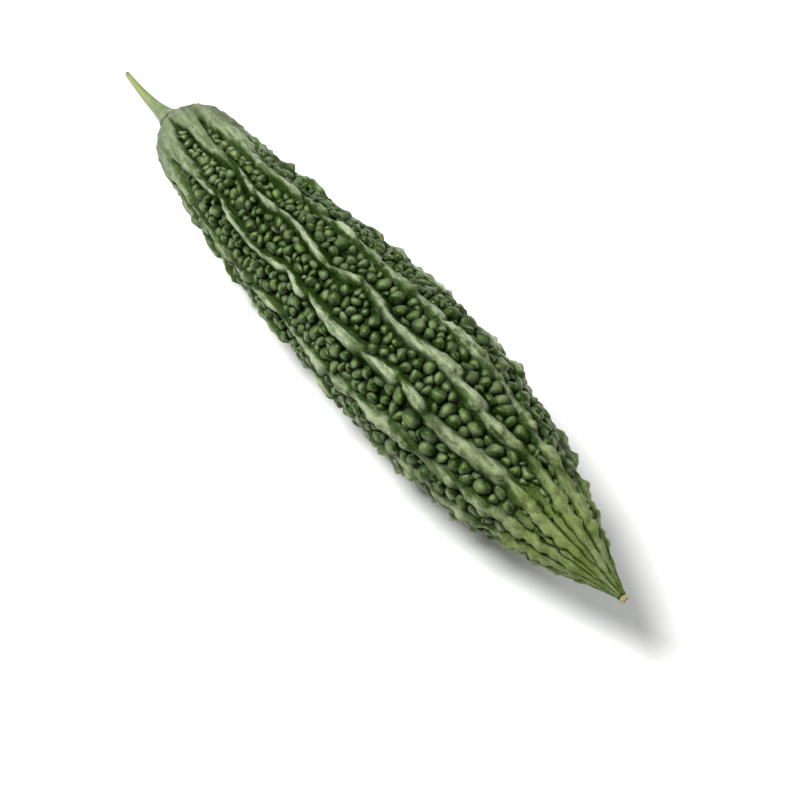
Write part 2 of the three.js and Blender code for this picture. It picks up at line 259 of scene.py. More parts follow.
def furrow_lateness():
    """How much later than the front furrow each furrow opens at the shoulder, for each column."""
    inside = np.sin(np.pi * np.arange(COLUMNS_PER_RIB) / COLUMNS_PER_RIB)
    return (FURROW_LATENESS.mean() * (1 - inside) + FURROW_LATENESS[:, None] * inside).ravel()


def middle_strips():
    """Marks the columns of the furrows in which one more strip rises near the tip."""
    return np.repeat(MIDDLE_STRIPS, COLUMNS_PER_RIB)


def lobe_count(rib, x):
    """The lobes counted along a rib: a whole number where one ends and the next begins."""
    jitter = LOBE["jitter"] * np.sin(x / LOBE["jitter_wave"] + rib * LOBE["jitter_step"])
    return x / LOBE["length"] + rib * LOBE["shift"] + jitter


def bare_skin():
    """The fruit's skin without its ribs: the furrow floor, marked with where the ribs run."""
    run = np.linspace(0, outline_runs[-1], SKIN_ROWS)
    x, radius, _, _ = outline_at(run)
    angle, aside, half_gap, rib = rib_columns(x, radius)
    points = floor_point(run[:, None], angle)
    poles = points[[0, -1]].mean(axis=1)
    x = x[:, None]
    late = furrow_lateness()
    marks = {
        "aside": (aside, 0, 0),
        "half_gap": (half_gap, 1, 1),
        "rib": (rib, 0, 0),
        "lobe": (lobe_count(rib, x), 0, 0),
        "relief": (relief_height(x), 0, 0),
        "strips": (strip_share(x, late), 1, 1),
        "grooved": (smoothstep(x - late, *GROOVES), 0, 1),
        "opened": (smoothstep(x - late, *FURROW_OPENING), 0, 1),
        "late": (late / FURROW_LATENESS.max() + 0 * x, 1, 1),
        "middle": (middle_strips() * smoothstep(x, *MIDDLE_ONSET), 0, 0),
        "run": (x / LENGTH, 0, 1),
    }
    return tube_mesh("fruit_skin", points, poles, marks)


def add(tree, kind, sockets=None, **options):
    """Adds a node, sets its options, and fills or links its inputs by name or number."""
    node = tree.nodes.new(kind)
    for option, value in options.items():
        setattr(node, option, value)
    for key, value in (sockets or {}).items():
        if isinstance(value, bpy.types.NodeSocket):
            tree.links.new(value, node.inputs[key])
        else:
            node.inputs[key].default_value = value
    return node


def calc(tree, operation, *values):
    return add(tree, "ShaderNodeMath", dict(enumerate(values)), operation=operation).outputs[0]


def remap(tree, value, low, high, to_low=0.0, to_high=1.0, kind="SMOOTHSTEP"):
    sockets = {0: value, 1: low, 2: high, 3: to_low, 4: to_high}
    return add(tree, "ShaderNodeMapRange", sockets, interpolation_type=kind).outputs[0]


def change(tree, value, start, end, kind="SMOOTHSTEP"):
    return remap(tree, value, start[0], end[0], start[1], end[1], kind)


def pick(tree, share, low, high):
    """A value that goes evenly from low to high as the share goes from 0 to 1."""
    return remap(tree, share, 0.0, 1.0, low, high, "LINEAR")


def product(tree, first, *others):
    for other in others:
        first = calc(tree, "MULTIPLY", first, other)
    return first


def between(tree, share, low, high):
    return add(tree, "ShaderNodeMix", {0: share, 2: low, 3: high}).outputs[0]


def stretched(tree, spot, factors):
    """A place with its three sides multiplied, which draws the pattern on it out."""
    sockets = {0: spot, 1: factors}
    return add(tree, "ShaderNodeVectorMath", sockets, operation="MULTIPLY").outputs[0]


def scaled(tree, direction, length):
    sockets = {0: direction, "Scale": length}
    return add(tree, "ShaderNodeVectorMath", sockets, operation="SCALE").outputs[0]


def noise(tree, spot, scale, detail, **others):
    sockets = {"Vector": spot, "Scale": scale, "Detail": detail, **others}
    return add(tree, "ShaderNodeTexNoise", sockets).outputs[0]


def move_points(tree, geometry, **sockets):
    sockets = {"Geometry": geometry, **sockets}
    return add(tree, "GeometryNodeSetPosition", sockets).outputs[0]


def growth_tree(name, inputs):
    """A new geometry tree with named inputs, and the outputs of its input node."""
    tree = bpy.data.node_groups.new(name, "GeometryNodeTree")
    tree.interface.new_socket("Geometry", in_out="INPUT", socket_type="NodeSocketGeometry")
    for label, (kind, value) in inputs.items():
        socket = tree.interface.new_socket(label, in_out="INPUT", socket_type="NodeSocket" + kind)
        if value is not None:
            socket.default_value = value
    tree.interface.new_socket("Geometry", in_out="OUTPUT", socket_type="NodeSocketGeometry")
    return tree, tree.nodes.new("NodeGroupInput").outputs


def read_mark(tree, label):
    return add(tree, "GeometryNodeInputNamedAttribute", {"Name": label}).outputs["Attribute"]


def store_mark(tree, geometry, label, value):
    sockets = {"Geometry": geometry, "Name": label, "Value": value}
    return add(tree, "GeometryNodeStoreNamedAttribute", sockets).outputs[0]


def press_to_floor(tree, geometry):
    """Nothing reaches below the surface that the fruit lies on."""
    place_now = add(tree, "GeometryNodeInputPosition").outputs[0]
    x, y, z = add(tree, "ShaderNodeSeparateXYZ", {0: place_now}).outputs
    pressed = calc(tree, "MAXIMUM", z, 0.0)
    flat = add(tree, "ShaderNodeCombineXYZ", {0: x, 1: y, 2: pressed}).outputs[0]
    return move_points(tree, geometry, Position=flat)


def end_growth(tree, geometry, material):
    """Every growth ends as plain, smooth geometry with its material."""
    real = add(tree, "GeometryNodeRealizeInstances", {0: geometry}).outputs[0]
    smooth = add(tree, "GeometryNodeSetShadeSmooth", {0: real}).outputs[0]
    done = add(tree, "GeometryNodeSetMaterial", {"Geometry": smooth, "Material": material})
    add(tree, "NodeGroupOutput", {0: done.outputs[0]})


def grow(name, carrier, tree, values):
    """Runs a growth tree on a carrier mesh and gives the result as a plain piece."""
    piece = bpy.data.objects.new(name, carrier)
    scene.collection.objects.link(piece)
    growth = piece.modifiers.new("growth", "NODES")
    growth.node_group = tree
    for item in tree.interface.items_tree:
        if item.in_out == "INPUT" and item.name in values:
            growth[item.identifier] = values[item.name]
    depsgraph = bpy.context.evaluated_depsgraph_get()
    grown = bpy.data.meshes.new_from_object(
        piece.evaluated_get(depsgraph), preserve_all_data_layers=True, depsgraph=depsgraph
    )
    piece.modifiers.clear()
    piece.data = grown
    return piece


# One lobe of a rib, by the share of its length that has passed
LOBE_START = -0.35
LOBE_END = 1.05
LOBE_ONSET = ((LOBE_START, 0.0), (0.1, 1.0))
LOBE_WIDTH = ((LOBE_START, 0.3), (0.8, 1.1))
LOBE_RISE = ((0.0, 0.55), (0.75, 1.0))
LOBE_NOSE = ((0.84, 1.0), (LOBE_END, 0.0))
LOBE_DRIFT = ((LOBE_START, 1.0), (LOBE_END, -0.8))
OWN_JOG = (-0.7, 0.7)
OWN_WIDTH = (0.75, 1.25)
OWN_HEIGHT = (0.88, 1.12)
NOSE_BLUNTNESS = 0.5
CREST_BLUNTNESS = 0.6
LEAST_WIDTH = 0.05
FOLD_PER_CREST = 0.6


def rib_lobe(tree, number, share, aside, breadth, sizes):
    """One lobe of a rib, as its height share and the share of its pale crest. It starts as a
    thin fold beside the lobe before it, widens and rises, and ends in a rounded nose. Every
    lobe has its own luck."""
    dice = add(tree, "ShaderNodeTexWhiteNoise", {"W": number}, noise_dimensions="1D")
    luck = add(tree, "ShaderNodeSeparateXYZ", {0: dice.outputs["Color"]}).outputs
    jog = pick(tree, luck[0], *OWN_JOG)
    side = calc(tree, "SIGN", jog)
    drift = change(tree, share, *LOBE_DRIFT, "LINEAR")
    jog = product(tree, calc(tree, "MULTIPLY_ADD", drift, side, jog), sizes["Jog"])
    nose = calc(tree, "POWER", change(tree, share, *LOBE_NOSE, "LINEAR"), NOSE_BLUNTNESS)
    own_width = pick(tree, luck[1], *OWN_WIDTH)
    width = product(tree, change(tree, share, *LOBE_WIDTH), own_width, nose, breadth)
    width = product(tree, width, sizes["Crest half width"])
    from_line = calc(tree, "SUBTRACT", aside, jog)
    off = calc(tree, "DIVIDE", from_line, calc(tree, "MAXIMUM", width, LEAST_WIDTH))
    crest = calc(tree, "SUBTRACT", 1.0, product(tree, off, off))
    crest = calc(tree, "POWER", calc(tree, "MAXIMUM", crest, 0.0), CREST_BLUNTNESS)
    fold_width = calc(tree, "MULTIPLY_ADD", width, FOLD_PER_CREST, sizes["Fold half width"])
    fold_off = calc(tree, "DIVIDE", calc(tree, "ABSOLUTE", from_line), fold_width)
    fold = remap(tree, fold_off, 0.0, 1.0, 1.0, 0.0)
    onset = change(tree, share, *LOBE_ONSET)
    own_height = pick(tree, luck[2], *OWN_HEIGHT)
    rise = product(tree, change(tree, share, *LOBE_RISE), own_height, onset, nose)
    height = product(tree, rise, between(tree, sizes["Crest part"], fold, crest))
    return height, product(tree, crest, product(tree, nose, onset))


# What changes along the fruit, by the share of its length
RIB_BREADTH = ((0.42, 1.0), (0.7, 2.3))
SCALLOPS = ((0.5, 0.2), (0.8, 0.65))
BULGES = ((0.35, 0.25), (0.8, 1.0))
TIP_BULGES = ((0.84, 1.0), (0.97, 0.4))
TIP_CALM = ((0.93, 1.0), (0.99, 0.2))
TIP_CLOSING = ((0.8, 0.0), (0.92, 0.22))
# The furrow at the front opens first and widest, and the others the less the later they open
FRONT_FURROW = ((0.0, 1.0), (0.3, 0.0))
FRONT_WIDTH = ((0.1, 0.25), (0.3, 0.0))
FRONT_ONSET = ((0.055, -0.3), (0.085, 1.0))
OPENING_WIDTH = ((0.0, 0.22), (1.0, 0.0))
# Across a rib, by the share of the way from its crest to the middle of the furrow
SKIRT = ((0.0, 1.0), (0.95, 0.0))
FLUTTER = ((0.25, -1.0), (0.75, 1.0))
GROOVE_WIDTH = 0.2
STRIP_ROUNDING = -0.32
MIDDLE_STRIP = {"room": -0.26, "flank": 0.18, "height": 0.86}
# Unevenness: where each pattern is level with the smooth rib
LUMP_SHARE = ((0.05, 1.0), (0.65, 0.0))
SCALLOP_LEVEL = 0.15
LUMP_LEVEL = 0.45
STREAK_LEVEL = 0.6
ROUGH_LEVEL = {"rib": 0.5, "strip": 0.62, "gain": 3.0}
SWELLING_SOFTNESS = 0.5


def rib_growth(material):
    """Raises the ribs out of the bare skin and marks how high each point stands on them."""
    tree, given = growth_tree("rib growth", {
        "Crest half width": ("Float", 1.4),
        "Crest part": ("Float", 0.34),
        "Fold half width": ("Float", 2.9),
        "Jog": ("Float", 1.3),
        "Flutter": ("Float", 0.45),
        "Skirt": ("Float", 0.16),
        "Groove start": ("Float", 0.5),
        "Unevenness": ("Float", 0.7),
        "Streaks": ("Float", 1.0),
        "Lumps": ("Float", 2.3),
        "Swelling": ("Float", 1.2),
    })
    aside, half_gap, rib, lobe, relief, run = (
        read_mark(tree, label) for label in ("aside", "half_gap", "rib", "lobe", "relief", "run")
    )
    strips, late, grooved, opened, middle = (
        read_mark(tree, label) for label in ("strips", "late", "grooved", "opened", "middle")
    )
    whole = calc(tree, "FLOOR", lobe)
    share = calc(tree, "FRACT", lobe)
    number = calc(tree, "MULTIPLY_ADD", rib, 97.0, whole)
    spot = add(tree, "GeometryNodeInputPosition").outputs[0]
    flutter = change(tree, noise(tree, spot, 330.0, 2.0), *FLUTTER, "LINEAR")
    line = calc(tree, "MULTIPLY_ADD", flutter, given["Flutter"], aside)
    breadth = change(tree, run, *RIB_BREADTH)
    ridge = crest = None
    for step in (0.0, 1.0, -1.0):
        lobe_number = calc(tree, "SUBTRACT", number, step)
        passed = calc(tree, "ADD", share, step)
        height, pale = rib_lobe(tree, lobe_number, passed, line, breadth, given)
        ridge = height if ridge is None else calc(tree, "SMOOTH_MAX", ridge, height, 0.05)
        crest = pale if crest is None else calc(tree, "MAXIMUM", crest, pale)
    far = calc(tree, "DIVIDE", calc(tree, "ABSOLUTE", aside), half_gap)
    skirt = product(tree, change(tree, far, *SKIRT), given["Skirt"])
    ridge = product(tree, ridge, calc(tree, "SUBTRACT", 1.0, given["Skirt"]))
    ridge = calc(tree, "ADD", skirt, ridge)

    slender = stretched(tree, spot, (0.85, 1.0, 1.0))
    sockets = {"Vector": slender, "Scale": 280.0, "Smoothness": 0.08}
    lumps = add(tree, "ShaderNodeTexVoronoi", sockets, feature="SMOOTH_F1").outputs["Distance"]
    lump = change(tree, lumps, *LUMP_SHARE, "LINEAR")
    front = product(tree, change(tree, late, *FRONT_FURROW), change(tree, run, *FRONT_WIDTH),
                    change(tree, run, *FRONT_ONSET))
    groove_start = calc(tree, "SUBTRACT", given["Groove start"], front)
    groove_start = calc(tree, "ADD", groove_start, change(tree, opened, *OPENING_WIDTH))
    groove_start = calc(tree, "ADD", groove_start, change(tree, run, *TIP_CLOSING))
    waved = calc(tree, "SUBTRACT", lump, SCALLOP_LEVEL)
    scallops = change(tree, run, *SCALLOPS)
    groove_start = calc(tree, "MULTIPLY_ADD", waved, scallops, groove_start)
    groove_start = calc(tree, "MULTIPLY_ADD", middle, MIDDLE_STRIP["room"], groove_start)
    groove_end = calc(tree, "ADD", groove_start, GROOVE_WIDTH)
    strip = remap(tree, far, groove_start, groove_end, 1.0, 0.0)
    rounded = calc(tree, "MULTIPLY_ADD", product(tree, far, far), STRIP_ROUNDING, 1.0)
    strip = product(tree, strip, rounded)
    flank_end = calc(tree, "ADD", groove_end, MIDDLE_STRIP["flank"])
    inner = remap(tree, far, groove_end, flank_end, 0.0, MIDDLE_STRIP["height"])
    strip = calc(tree, "MAXIMUM", strip, product(tree, inner, middle))
    stand = between(tree, strips, ridge, strip)
    stand = between(tree, grooved, 1.0, stand)
    crest = between(tree, strips, crest, strip)

    streaks = noise(tree, stretched(tree, spot, (0.25, 1.0, 1.0)), 900.0, 2.0)
    streaks = product(tree, calc(tree, "SUBTRACT", streaks, STREAK_LEVEL), given["Streaks"])
    level = between(tree, strips, ROUGH_LEVEL["rib"], ROUGH_LEVEL["strip"])
    uneven = calc(tree, "SUBTRACT", noise(tree, spot, 300.0, 3.0), level)
    uneven = product(tree, uneven, ROUGH_LEVEL["gain"])
    uneven = calc(tree, "MULTIPLY_ADD", uneven, given["Unevenness"], streaks)
    bulges = product(tree, calc(tree, "SUBTRACT", lump, LUMP_LEVEL), given["Lumps"],
                     change(tree, run, *BULGES), change(tree, run, *TIP_BULGES))
    uneven = calc(tree, "ADD", uneven, bulges)
    uneven = product(tree, uneven, change(tree, run, *TIP_CALM), stand)
    height = calc(tree, "MULTIPLY_ADD", stand, relief, uneven)
    highest = product(tree, relief, given["Swelling"])
    height = product(tree, calc(tree, "SMOOTH_MIN", height, highest, SWELLING_SOFTNESS), MM)
    outwards = add(tree, "GeometryNodeInputNormal").outputs[0]
    raised = move_points(tree, given[0], Offset=scaled(tree, outwards, height))
    marked = store_mark(tree, raised, "stand", stand)
    marked = store_mark(tree, marked, "crest", crest)
    end_growth(tree, press_to_floor(tree, marked), material)
    return tree


def paint(red, green, blue):
    """A colour as it shows on a screen, 0 to 255, in the shader's own linear values."""
    shown = np.array([red, green, blue]) / 255
    linear = np.where(shown > 0.04045, ((shown + 0.055) / 1.055) ** 2.4, shown / 12.92)
    return (*linear.tolist(), 1.0)


def new_material(name):
    material = bpy.data.materials.new(name)
    material.use_nodes = True
    material.node_tree.nodes.clear()
    return material, material.node_tree


def mark_colour(tree, label):
    return add(tree, "ShaderNodeAttribute", attribute_name=label).outputs["Fac"]


def coat_colour(tree, share, low, high):
    sockets = {0: share, 6: low, 7: high}
    return add(tree, "ShaderNodeMix", sockets, data_type="RGBA").outputs[2]


def colour_steps(tree, value, steps):
    ramp = add(tree, "ShaderNodeValToRGB", {0: value})
    stops = ramp.color_ramp.elements
    while len(stops) < len(steps):
        stops.new(0.5)
    for stop, (spot, colour) in zip(stops, steps):
        stop.position = spot
        stop.color = colour
    return ramp.outputs[0]


def wax_group():
    """Pale wax bloom and fine wrinkles of the skin, alike on ribs, warts and stem: Bloom is a
    patchy mask, Tone a slow change of the green, and Height the wrinkles for a bump."""
    group = bpy.data.node_groups.new("waxy skin", "ShaderNodeTree")
    for label, value in {"Patch scale": 240.0, "Wrinkle scale": 700.0, "Stretch": 0.25}.items():
        socket = group.interface.new_socket(label, in_out="INPUT", socket_type="NodeSocketFloat")
        socket.default_value = value
    for label in ("Bloom", "Tone", "Height"):
        group.interface.new_socket(label, in_out="OUTPUT", socket_type="NodeSocketFloat")
    given = group.nodes.new("NodeGroupInput").outputs
    spot = add(group, "ShaderNodeTexCoord").outputs["Object"]
    stretch = add(group, "ShaderNodeCombineXYZ", {0: given["Stretch"], 1: 1.0, 2: 1.0}).outputs[0]
    drawn_out = stretched(group, spot, stretch)
    patches = noise(group, drawn_out, given["Patch scale"], 5.0, Roughness=0.65)
    tone = noise(group, spot, 28.0, 2.0)
    wrinkles = noise(group, drawn_out, given["Wrinkle scale"], 4.0, Roughness=0.6)
    pores = add(group, "ShaderNodeTexVoronoi", {"Vector": spot, "Scale": 1500.0}).outputs[0]
    height = calc(group, "MULTIPLY_ADD", remap(group, pores, 0.0, 0.5), 0.25, wrinkles)
    sockets = {
        "Bloom": remap(group, patches, 0.38, 0.68),
        "Tone": remap(group, tone, 0.3, 0.7),
        "Height": height,
    }
    add(group, "NodeGroupOutput", sockets)
    return group


waxy_skin = wax_group()


GLOSS = 0.2
WET_GLOSS = 0.36
SHEEN_TINT = (0.66, 1.0, 0.25, 1.0)


def end_material(tree, colour, roughness, height, bump_depth, **constants):
    """A waxy plant surface: its colour, roughness and bump, with fixed values on the shader."""
    sockets = {"Height": height, "Distance": bump_depth, "Strength": 0.7}
    bump = add(tree, "ShaderNodeBump", sockets).outputs[0]
    sockets = {"Base Color": colour, "Roughness": roughness, "Normal": bump,
               "Specular IOR Level": GLOSS, "Specular Tint": SHEEN_TINT, **constants}
    shader = add(tree, "ShaderNodeBsdfPrincipled", sockets)
    add(tree, "ShaderNodeOutputMaterial", {0: shader.outputs[0]})


# Where the greens change along the fruit, and how the pale crest colour spreads on a crest: partly
# the crest's own paler green and wax bloom, partly painted highlight
TIP_GREENS = ((0.8, 0.0), (0.9, 1.0))
SHOULDER_GREENS = ((0.03, 1.0), (0.14, 0.0))
FRESH_TIP = ((0.91, 0.0), (0.99, 0.8))
PALE_CREST = ((0.25, 0.0), (1.15, 1.0))
PALE_RISE = ((0.3, 0.25), (0.85, 1.0))
PALE_STREAKS = (-0.42, 0.3)


def skin_material():
    material, tree = new_material("gourd skin")
    wax = add(tree, "ShaderNodeGroup", {"Patch scale": 420.0, "Wrinkle scale": 900.0,
                                        "Stretch": 0.2}, node_tree=waxy_skin).outputs
    stand = mark_colour(tree, "stand")
    crest = mark_colour(tree, "crest")
    run = mark_colour(tree, "run")
    # The rib greens darken towards the furrow floor. This is partly the deeper green of the skin
    # there and partly painted shade, near black at the floor where the crevices lie.
    rib_green = colour_steps(tree, stand, [
        (0.0, paint(4, 18, 0)), (0.3, paint(12, 34, 0)), (0.5, paint(22, 46, 2)),
        (0.8, paint(48, 66, 22)), (1.0, paint(80, 98, 51)),
    ])
    # The pale crest colour is partly the crest's own paler green and partly a painted highlight
    # along the ridge, stronger the higher a point stands.
    streaky = pick(tree, wax["Bloom"], *PALE_STREAKS)
    pale = change(tree, calc(tree, "ADD", crest, streaky), *PALE_CREST)
    pale = product(tree, pale, change(tree, stand, *PALE_RISE))
    crest_green = colour_steps(tree, run, [
        (0.15, paint(130, 143, 112)), (0.4, paint(147, 158, 130)), (0.6, paint(156, 167, 136)),
        (0.85, paint(128, 139, 100)),
    ])
    rib_green = coat_colour(tree, pale, rib_green, crest_green)
    # Like the rib greens, the strip and shoulder greens darken into the grooves. This is partly
    # their own deeper green and partly painted shade.
    strip_green = colour_steps(tree, stand, [
        (0.0, paint(20, 36, 2)), (0.3, paint(54, 72, 18)), (0.72, paint(92, 109, 48)),
        (1.0, paint(116, 131, 72)),
    ])
    shoulder_green = colour_steps(tree, stand, [
        (0.0, paint(14, 26, 2)), (0.3, paint(42, 56, 26)), (0.75, paint(82, 95, 66)),
        (1.0, paint(98, 109, 83)),
    ])
    colour = coat_colour(tree, change(tree, run, *TIP_GREENS), rib_green, strip_green)
    colour = coat_colour(tree, change(tree, run, *SHOULDER_GREENS), colour, shoulder_green)
    colour = coat_colour(tree, change(tree, run, *FRESH_TIP), colour, paint(68, 85, 20))
    deep = product(tree, wax["Tone"], 0.3)
    colour = coat_colour(tree, deep, colour, paint(22, 42, 4))
    # Wax bloom on the crests, together with a painted highlight: a pale grey-green laid over the
    # crest.
    bloom_and_highlight = product(tree, wax["Bloom"], crest, 0.32)
    colour = coat_colour(tree, bloom_and_highlight, colour, paint(164, 177, 146))
    roughness = pick(tree, wax["Bloom"], 0.38, 0.6)
    end_material(tree, colour, roughness, wax["Height"], 0.9 * MM)
    return material


skin = grow("fruit_skin", bare_skin(), rib_growth(skin_material()), {})
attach(skin, "root")
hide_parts("fruit")

# Warts
# Pebble-like warts of the same flesh fill the furrows between the ribs, three or so across.
# They grow bigger towards the blossom half, press on each other, and part in dark, narrow gaps.
WART_SEED = 11
WART_ZONE = {"start": 19.5, "later": 20, "end": 224}
WART_CLASSES = [(1.14, 1.38, 420), (0.88, 1.06, 9000), (0.62, 0.76, 900)]
WART_CLOSENESS = 0.9
FURROW_STAND = 0.3
CELL_REACH = 1.34
SETTLING_ROUNDS = 2
LEAST_CELL = 2.1
MOST_SLENDER = 1.9
CELL_FILL = (0.9, 1.05)
PEBBLES = {"large": {"sides": 10, "rings": 5}, "small": {"sides": 8, "rings": 4}}
LARGE_FROM = 1.8
PEBBLE_FOOT = math.radians(-38)
PEBBLE_BLUNTNESS = 0.8
STEM_HALF_RADIUS = ((15, 1.36), (75, 1.54))
BLOSSOM_HALF_GAIN = ((110, 0), (185, 0.4))
TIP_NARROWING = ((198, 1), (220, 0.56))
TIP_LOWERING = ((198, 1), (216, 0.6))
WART_HEIGHT = (0.8, 1.15)
FLANK_LOWERING = 0.5
BESIDE_RIB = (0.14, 0.4)
NOISE_GAIN = 4.0


def wart_radius(x):
    grown = changing(x, *STEM_HALF_RADIUS) + changing(x, *BLOSSOM_HALF_GAIN)
    return grown * changing(x, *TIP_NARROWING)


def furrow_patches(piece):
    """Small patches of the skin where warts can grow: places, outward directions, areas and
    heights on the rib, sorted along the fruit, in millimetres."""
    faces = piece.data.polygons
    count = len(faces)
    centres, outwards, areas = np.empty(count * 3), np.empty(count * 3), np.empty(count)
    corners = np.empty(count, int)
    faces.foreach_get("center", centres)
    faces.foreach_get("normal", outwards)
    faces.foreach_get("area", areas)
    faces.foreach_get("loop_total", corners)
    corner_points = np.empty(corners.sum(), int)
    piece.data.loops.foreach_get("vertex_index", corner_points)
    face_of_corner = np.repeat(np.arange(count), corners)

    def face_mark(label):
        marks = np.empty(len(piece.data.vertices), np.float32)
        piece.data.attributes[label].data.foreach_get("value", marks)
        return np.bincount(face_of_corner, marks[corner_points]) / corners

    stand = face_mark("stand")
    start = WART_ZONE["start"] + WART_ZONE["later"] * face_mark("late")
    centres = (centres.reshape(-1, 3) - fruit_origin) / MM
    x = centres[:, 0]
    chosen = (stand < FURROW_STAND) & (x > start) & (x < WART_ZONE["end"])
    order = np.flatnonzero(chosen)[np.argsort(x[chosen])]
    return centres[order], outwards.reshape(-1, 3)[order], areas[order] / MM ** 2, stand[order]


def throw_warts(places, areas, luck):
    """Warts thrown at random into the furrows, the largest first, and kept where they fit."""
    spots, sizes = np.empty((0, 3)), np.empty(0)
    for smallest, largest, tries in WART_CLASSES:
        picked = places[luck.choice(len(places), tries, p=areas / areas.sum())]
        radii = wart_radius(picked[:, 0]) * luck.uniform(smallest, largest, tries)
        for spot, radius in zip(picked, radii):
            reach = (sizes + radius) * WART_CLOSENESS
            if np.all(np.linalg.norm(spots - spot, axis=1) > reach):
                spots = np.vstack([spots, spot])
                sizes = np.append(sizes, radius)
    return spots, sizes


def share_furrows(places, spots, sizes):
    """The wart that every patch belongs to, or -1 where none is near enough."""
    nearness = np.full(len(places), CELL_REACH)
    owner = np.full(len(places), -1)
    reach = CELL_REACH * sizes
    first = np.searchsorted(places[:, 0], spots[:, 0] - reach)
    last = np.searchsorted(places[:, 0], spots[:, 0] + reach)
    for number, stretch in enumerate(map(slice, first, last)):
        near = np.linalg.norm(places[stretch] - spots[number], axis=1) / sizes[number]
        closer = near < nearness[stretch]
        nearness[stretch][closer] = near[closer]
        owner[stretch][closer] = number
    return owner


def settle_warts(patches, spots, sizes):
    """Moves every wart to the middle of its own patches and fits an oval to them. Gives rows
    of place, outward direction, half length, half width, turn, height on the rib, and area."""
    places, outwards, areas, stand = patches
    owner = share_furrows(places, spots, sizes)
    owned = owner >= 0
    own, weights = owner[owned], areas[owned]
    total = np.bincount(own, weights, len(spots)) + 1e-9

    def mean(values):
        return np.bincount(own, weights * values, len(spots)) / total

    upright = np.stack([mean(side) for side in outwards[owned].T], axis=1) + (0, 0, 1e-9)
    upright /= np.linalg.norm(upright, axis=1)[:, None]
    along = np.array([1, 0, 0]) - upright * upright[:, :1]
    along /= np.linalg.norm(along, axis=1)[:, None]
    across = np.cross(upright, along)
    away = places[owned] - spots[own]
    u, v = (away * along[own]).sum(axis=1), (away * across[own]).sum(axis=1)
    middle_u, middle_v = mean(u), mean(v)
    moved = spots + along * middle_u[:, None] + across * middle_v[:, None]
    u, v = u - middle_u[own], v - middle_v[own]
    spread_u, spread_v, slant = mean(u * u), mean(v * v), mean(u * v)
    half, tilt = (spread_u + spread_v) / 2, np.hypot((spread_u - spread_v) / 2, slant)
    longer, shorter = 2 * np.sqrt(half + tilt), 2 * np.sqrt(np.maximum(half - tilt, 0.01))
    shorter = np.maximum(shorter, longer / MOST_SLENDER)
    turn = np.arctan2(2 * slant, spread_u - spread_v) / 2
    return np.column_stack([moved, upright, longer, shorter, turn, mean(stand[owned]), total])


def pack_warts(piece, luck):
    patches = furrow_patches(piece)
    spots, sizes = throw_warts(patches[0], patches[2], luck)
    for _ in range(SETTLING_ROUNDS):
        warts = settle_warts(patches, spots, sizes)
        kept = warts[:, 10] > LEAST_CELL
        spots, sizes = warts[kept, :3], sizes[kept]
    return warts[kept]


def pebble_mesh(name, sides, rings):
    """A blunt pebble on a narrower foot, a unit in radius, marked from its foot to its top."""
    slopes = np.linspace(PEBBLE_FOOT, math.pi / 2, rings + 1)[:-1]
    turns = np.arange(sides) * 2 * np.pi / sides
    points, marks, faces = [], [], []
    for number, slope in enumerate(slopes):
        width = np.cos(slope) ** PEBBLE_BLUNTNESS
        ring = np.stack([width * np.cos(turns), width * np.sin(turns),
                         np.full(sides, np.sin(slope))], axis=1)
        points.extend(ring.tolist())
        marks.extend([number / rings] * sides)
    points.append((0, 0, 1))
    marks.append(1)
    top = len(points) - 1
    faces.append(list(range(sides))[::-1])
    for number in range(rings - 1):
        low = number * sides
        for side in range(sides):
            beside = (side + 1) % sides
            faces.append((low + side, low + beside, low + sides + beside, low + sides + side))
    last = (rings - 1) * sides
    faces.extend((last + side, last + (side + 1) % sides, top) for side in range(sides))
    mesh = bpy.data.meshes.new(name)
    mesh.from_pydata(points, [], faces)
    layer = mesh.attributes.new("tip", "FLOAT", "POINT")
    layer.data.foreach_set("value", np.array(marks, np.float32))
    return mesh


def wart_spots(name, warts, luck):
    """One point for each wart, with its size, its spin and its marks for the material."""
    count = len(warts)
    longer, shorter, turn, stand = warts[:, 6:10].T
    mesh = bpy.data.meshes.new(name)
    mesh.from_pydata(place(*warts[:, :3].T).tolist(), [], [])
    height = np.sqrt(longer * shorter) * luck.uniform(*WART_HEIGHT, count)
    height = height * (1 - FLANK_LOWERING * stand) * changing(warts[:, 0], *TIP_LOWERING)
    numbers = {
        "spin": turn,
        "tint": luck.random(count),
        "beside_rib": smoothstep(stand, *BESIDE_RIB),
        "run": warts[:, 0] / LENGTH,
    }
    for label, values in numbers.items():
        layer = mesh.attributes.new(label, "FLOAT", "POINT")
        layer.data.foreach_set("value", values.astype(np.float32))
    fill = luck.uniform(*CELL_FILL, count)
    sizes = np.stack([longer * fill, shorter * fill, height], axis=1) * MM
    for label, values in {"size": sizes, "outwards": warts[:, 3:6]}.items():
        layer = mesh.attributes.new(label, "FLOAT_VECTOR", "POINT")
        layer.data.foreach_set("vector", values.astype(np.float32).ravel())
    return mesh


